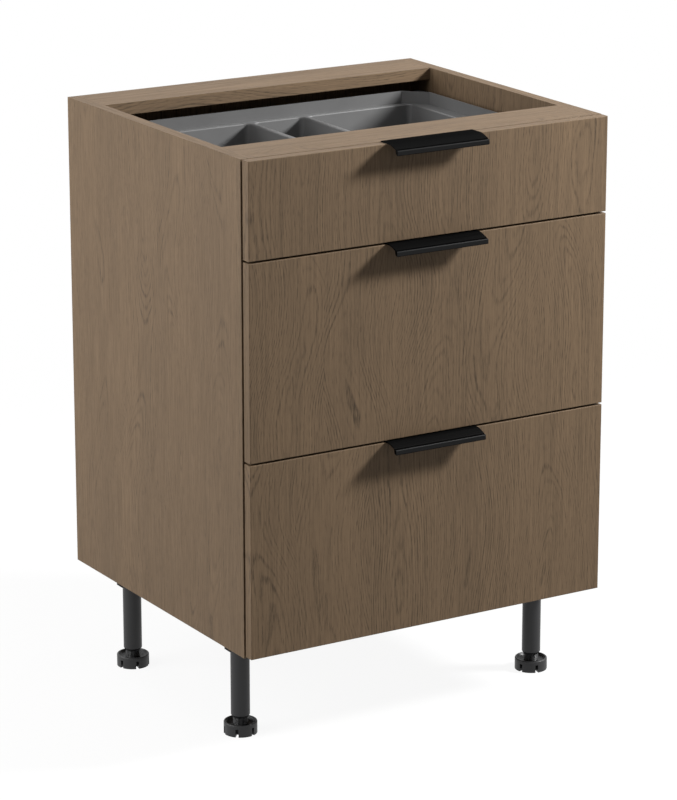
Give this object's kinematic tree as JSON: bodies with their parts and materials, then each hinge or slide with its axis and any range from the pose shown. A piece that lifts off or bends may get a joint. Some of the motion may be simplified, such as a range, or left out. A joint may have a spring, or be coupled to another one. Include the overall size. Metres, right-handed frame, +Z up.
{
  "type": "base cabinet with drawers",
  "caption": "Floor-standing kitchen base cabinet with an open top, stacked full-extension drawers, edge-pull handles and screw-adjusted legs.",
  "frame": {"origin": "middle of the footprint of the whole cabinet, handles included, on the floor", "axes": "+X to the right seen from the front, -Y out of the drawer fronts, +Z up"},
  "size_m": [0.6, 0.5575, 0.8715],
  "materials": {
    "oak_front": "matt melamine or veneer, vertical oak grain",
    "oak_carcass": "matt melamine, oak grain",
    "back_panel": "matt melamine, oak grain",
    "handle_black": "matt black anodised",
    "leg_plastic": "moulded, satin",
    "tray_plastic": "moulded, satin",
    "drawer_steel": "fine matt powder coat",
    "drawer_board": "grey melamine",
    "zinc_steel": "zinc plated",
    "beech": "raw, fluted",
    "cam_zinc": "die-cast zinc",
    "screw_steel": "zinc plated"
  },
  "bodies": {
    "cabinet": {"side_panel_left": "oak_carcass", "side_panel_right": "oak_carcass", "bottom_panel": "oak_carcass", "back_panel": "back_panel", "front_rail": "oak_carcass", "rear_rail": "oak_carcass", "cam_housings": "cam_zinc", "cam_bolts": "screw_steel", "dowels": "beech", "runner_screws": "screw_steel", "leg_sockets": "leg_plastic", "leg_screws": "screw_steel", "runner_cabinet_members_1": "zinc_steel", "runner_cabinet_members_2": "zinc_steel", "runner_cabinet_members_3": "zinc_steel", "leg_tube_front_left": "leg_plastic", "leg_tube_front_right": "leg_plastic", "leg_tube_rear_left": "leg_plastic", "leg_tube_rear_right": "leg_plastic"},
    "drawer_1": {"drawer_front_1": "oak_front", "handle_1": "handle_black", "drawer_side_left_1": "drawer_steel", "drawer_side_right_1": "drawer_steel", "drawer_base_1": "drawer_board", "drawer_back_1": "drawer_board", "front_brackets_1": "zinc_steel", "runner_drawer_members_1": "zinc_steel", "drawer_screws_1": "screw_steel", "cutlery_tray": "tray_plastic"},
    "drawer_2": {"drawer_front_2": "oak_front", "handle_2": "handle_black", "drawer_side_left_2": "drawer_steel", "drawer_side_right_2": "drawer_steel", "drawer_base_2": "drawer_board", "drawer_back_2": "drawer_board", "front_brackets_2": "zinc_steel", "runner_drawer_members_2": "zinc_steel", "drawer_screws_2": "screw_steel"},
    "drawer_3": {"drawer_front_3": "oak_front", "handle_3": "handle_black", "drawer_side_left_3": "drawer_steel", "drawer_side_right_3": "drawer_steel", "drawer_base_3": "drawer_board", "drawer_back_3": "drawer_board", "front_brackets_3": "zinc_steel", "runner_drawer_members_3": "zinc_steel", "drawer_screws_3": "screw_steel"},
    "runners_1": {"runner_middle_members_1": "zinc_steel"},
    "runners_2": {"runner_middle_members_2": "zinc_steel"},
    "runners_3": {"runner_middle_members_3": "zinc_steel"},
    "spindle_front_left": {"foot_spindle_front_left": "leg_plastic"},
    "foot_front_left": {"foot_disc_front_left": "leg_plastic"},
    "spindle_front_right": {"foot_spindle_front_right": "leg_plastic"},
    "foot_front_right": {"foot_disc_front_right": "leg_plastic"},
    "spindle_rear_left": {"foot_spindle_rear_left": "leg_plastic"},
    "foot_rear_left": {"foot_disc_rear_left": "leg_plastic"},
    "spindle_rear_right": {"foot_spindle_rear_right": "leg_plastic"},
    "foot_rear_right": {"foot_disc_rear_right": "leg_plastic"}
  },
  "joints": [
    {"name": "drawer_1_slide", "type": "slide", "parent": "cabinet", "child": "drawer_1", "axis": [0, -1, 0], "range_m": [0, 0.44]},
    {"name": "runners_1_slide", "type": "slide", "parent": "cabinet", "child": "runners_1", "axis": [0, -1, 0], "range_m": [0, 0.22]},
    {"name": "drawer_2_slide", "type": "slide", "parent": "cabinet", "child": "drawer_2", "axis": [0, -1, 0], "range_m": [0, 0.44]},
    {"name": "runners_2_slide", "type": "slide", "parent": "cabinet", "child": "runners_2", "axis": [0, -1, 0], "range_m": [0, 0.22]},
    {"name": "drawer_3_slide", "type": "slide", "parent": "cabinet", "child": "drawer_3", "axis": [0, -1, 0], "range_m": [0, 0.44]},
    {"name": "runners_3_slide", "type": "slide", "parent": "cabinet", "child": "runners_3", "axis": [0, -1, 0], "range_m": [0, 0.22]},
    {"name": "foot_front_left_height", "type": "slide", "parent": "cabinet", "child": "spindle_front_left", "axis": [0, 0, -1], "range_m": [-0.006, 0.016]},
    {"name": "foot_front_left_turn", "type": "hinge", "parent": "spindle_front_left", "child": "foot_front_left", "pos_m": [-0.255, -0.14225, 0.009], "axis": [0, 0, 1], "range_deg": [-540, 1440]},
    {"name": "foot_front_right_height", "type": "slide", "parent": "cabinet", "child": "spindle_front_right", "axis": [0, 0, -1], "range_m": [-0.006, 0.016]},
    {"name": "foot_front_right_turn", "type": "hinge", "parent": "spindle_front_right", "child": "foot_front_right", "pos_m": [0.255, -0.14225, 0.009], "axis": [0, 0, 1], "range_deg": [-540, 1440]},
    {"name": "foot_rear_left_height", "type": "slide", "parent": "cabinet", "child": "spindle_rear_left", "axis": [0, 0, -1], "range_m": [-0.006, 0.016]},
    {"name": "foot_rear_left_turn", "type": "hinge", "parent": "spindle_rear_left", "child": "foot_rear_left", "pos_m": [-0.255, 0.18775, 0.009], "axis": [0, 0, 1], "range_deg": [-540, 1440]},
    {"name": "foot_rear_right_height", "type": "slide", "parent": "cabinet", "child": "spindle_rear_right", "axis": [0, 0, -1], "range_m": [-0.006, 0.016]},
    {"name": "foot_rear_right_turn", "type": "hinge", "parent": "spindle_rear_right", "child": "foot_rear_right", "pos_m": [0.255, 0.18775, 0.009], "axis": [0, 0, 1], "range_deg": [-540, 1440]}
  ],
  "couplings": [
    {"joint": "runners_1_slide", "follows": "drawer_1_slide", "ratio": 0.5},
    {"joint": "runners_2_slide", "follows": "drawer_2_slide", "ratio": 0.5},
    {"joint": "runners_3_slide", "follows": "drawer_3_slide", "ratio": 0.5},
    {"joint": "foot_front_left_turn", "follows": "foot_front_left_height", "rad_per_m": 1570.8},
    {"joint": "foot_front_right_turn", "follows": "foot_front_right_height", "rad_per_m": 1570.8},
    {"joint": "foot_rear_left_turn", "follows": "foot_rear_left_height", "rad_per_m": 1570.8},
    {"joint": "foot_rear_right_turn", "follows": "foot_rear_right_height", "rad_per_m": 1570.8}
  ]
}
